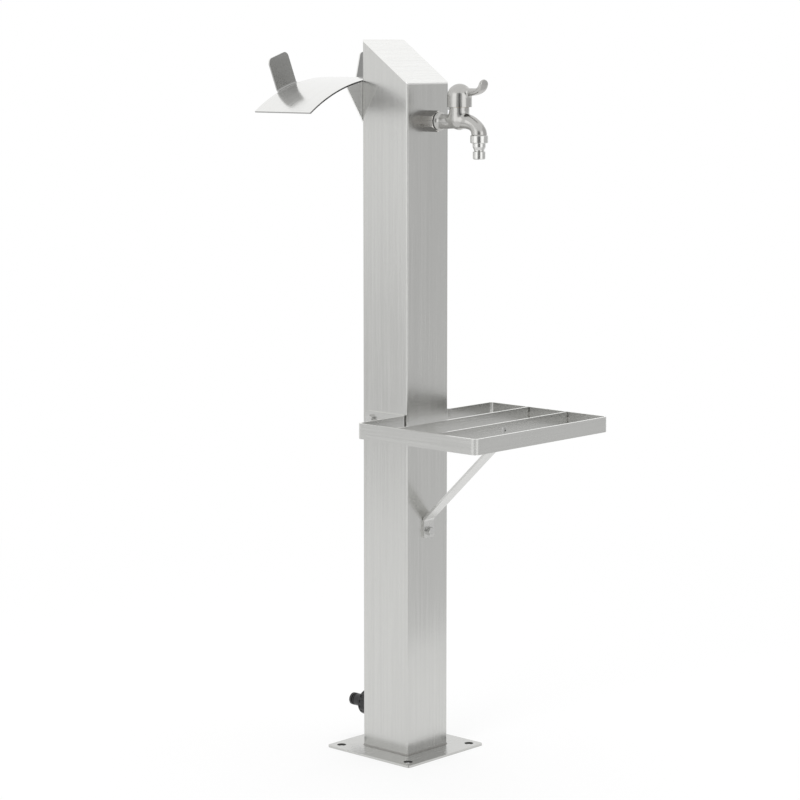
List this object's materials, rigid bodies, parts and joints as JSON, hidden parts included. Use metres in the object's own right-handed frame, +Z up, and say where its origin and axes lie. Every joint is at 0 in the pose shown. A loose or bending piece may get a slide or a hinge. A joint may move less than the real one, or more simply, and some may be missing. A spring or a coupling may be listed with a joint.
{
  "type": "garden standpipe",
  "caption": "Square steel water post on a foot plate, with a lever tap, a slatted bucket shelf on a brace, a curved hose saddle with two lips, and a push-on water inlet near the foot.",
  "frame": {"origin": "middle of the four ground holes on the underside of the foot plate", "axes": "+Z up along the post, -Y to the front where the tap and the shelf are, +Y to the hose saddle and the water inlet, +X to the right of the post seen from the front"},
  "size_m": [0.275, 0.3892, 0.95],
  "materials": {
    "brushed_steel": "brushed",
    "bright_steel": "bright",
    "polished_metal": "polished",
    "brass": "machined",
    "rubber": "matte",
    "ceramic": "ground",
    "black_plastic": "matte",
    "hose": "matte",
    "dark_steel": "blackened"
  },
  "bodies": {
    "stand": {"post_tube": "brushed_steel", "top_lid": "brushed_steel", "base_plate": "brushed_steel", "base_weld": "brushed_steel", "shelf_rim": "brushed_steel", "shelf_slat_rear": "brushed_steel", "shelf_slat_front": "brushed_steel", "shelf_welds": "brushed_steel", "brace_strut": "brushed_steel", "hose_saddle": "brushed_steel", "saddle_back_plate": "brushed_steel", "saddle_welds": "brushed_steel", "slat_insert": "bright_steel", "shelf_bolts": "bright_steel", "shelf_washers": "bright_steel", "brace_bolts": "bright_steel", "brace_washers": "bright_steel", "post_rivet_nuts": "bright_steel", "saddle_bolts": "bright_steel", "saddle_washers": "bright_steel", "tap_lock_washer": "bright_steel", "hose_ferrules": "bright_steel", "tap_adapter": "polished_metal", "tap_body": "polished_metal", "hose_nipple": "polished_metal", "inlet_stub": "polished_metal", "tap_lock_nut": "brass", "bonnet_nut": "brass", "inlet_lock_nut": "brass", "inlet_elbow": "brass", "tap_elbow": "brass", "tap_gasket": "rubber", "seat_seal": "rubber", "spout_seal": "rubber", "inlet_seal": "rubber", "coupling_o_ring": "rubber", "fixed_disc": "ceramic", "inlet_coupling": "black_plastic", "supply_hose": "hose"},
    "handle": {"tap_handle": "polished_metal", "handle_screw": "dark_steel", "spindle": "brass", "moving_disc": "ceramic", "spindle_o_rings": "rubber"}
  },
  "joints": [
    {"name": "tap_turn", "type": "hinge", "parent": "stand", "child": "handle", "pos_m": [0, -0.0945, 0.8788], "axis": [0, 0, 1], "range_deg": [0, 90]}
  ]
}
